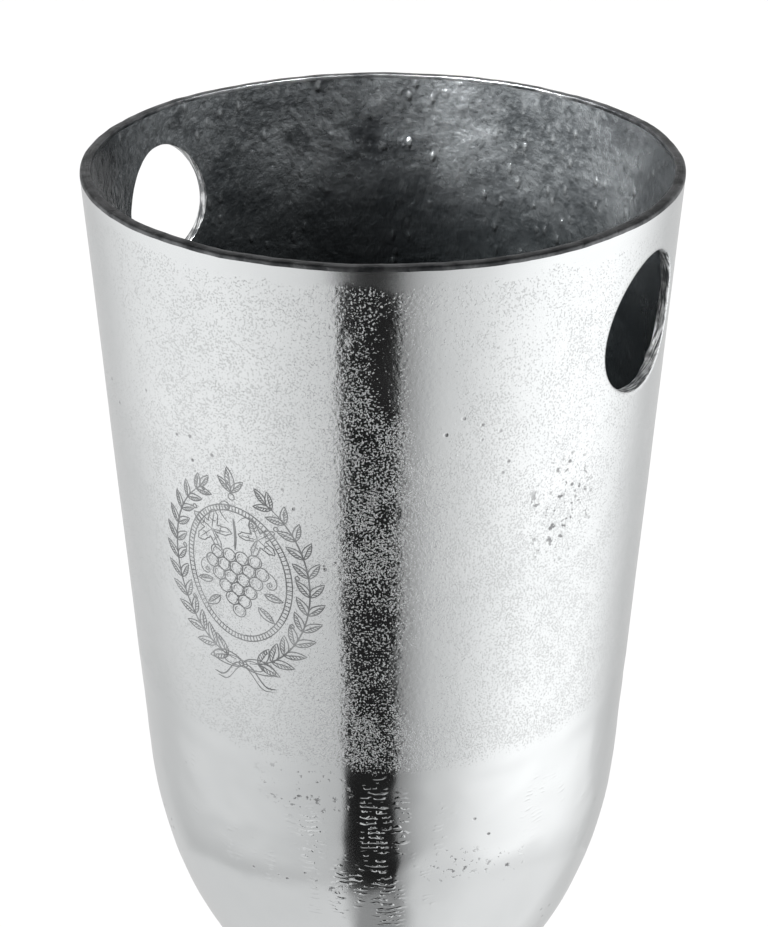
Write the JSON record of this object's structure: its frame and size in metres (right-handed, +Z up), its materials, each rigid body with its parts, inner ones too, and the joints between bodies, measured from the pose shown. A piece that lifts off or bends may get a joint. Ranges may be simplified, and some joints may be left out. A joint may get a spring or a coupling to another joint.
{
  "type": "champagne bucket stand",
  "caption": "Floor-standing champagne bucket: a deep nickel-plated cast cup with egg-shaped hand holes, on a turned stem and a domed foot.",
  "frame": {"origin": "on the floor, under the middle of the base", "axes": "+Z up; the two hand holes open along X; -Y is the front, which carries the ornament"},
  "size_m": [0.28, 0.28, 0.7896],
  "materials": {
    "nickel_cast": "sand-cast aluminium, nickel plated and part polished, pitted",
    "nickel_polished": "turned aluminium castings, nickel plated and polished",
    "steel": "plain stainless steel fasteners",
    "painted_steel": "black powder coat, fine texture",
    "cast_iron": "raw grey iron with a sand-cast skin",
    "rubber": "black moulded rubber, matt"
  },
  "bodies": {
    "root": {"bucket": "nickel_cast", "neck_collar": "nickel_polished", "upper_stem": "nickel_polished", "knop": "nickel_polished", "lower_stem": "nickel_polished", "foot_collar": "nickel_polished", "base": "nickel_cast", "bucket_gasket": "rubber", "bucket_dowel": "steel", "foot_dowel": "steel", "tie_rod": "steel", "seal_washer": "rubber", "bucket_washer": "steel", "dome_nut": "steel", "ballast_plate": "cast_iron", "clamp_washer": "steel", "spring_washer": "steel", "rod_nut": "steel", "cover_plate": "painted_steel", "foot_pad_1": "rubber", "foot_pad_2": "rubber", "foot_pad_3": "rubber", "foot_pad_4": "rubber", "foot_screw_1": "steel", "foot_screw_2": "steel", "foot_screw_3": "steel", "foot_screw_4": "steel"}
  },
  "joints": []
}
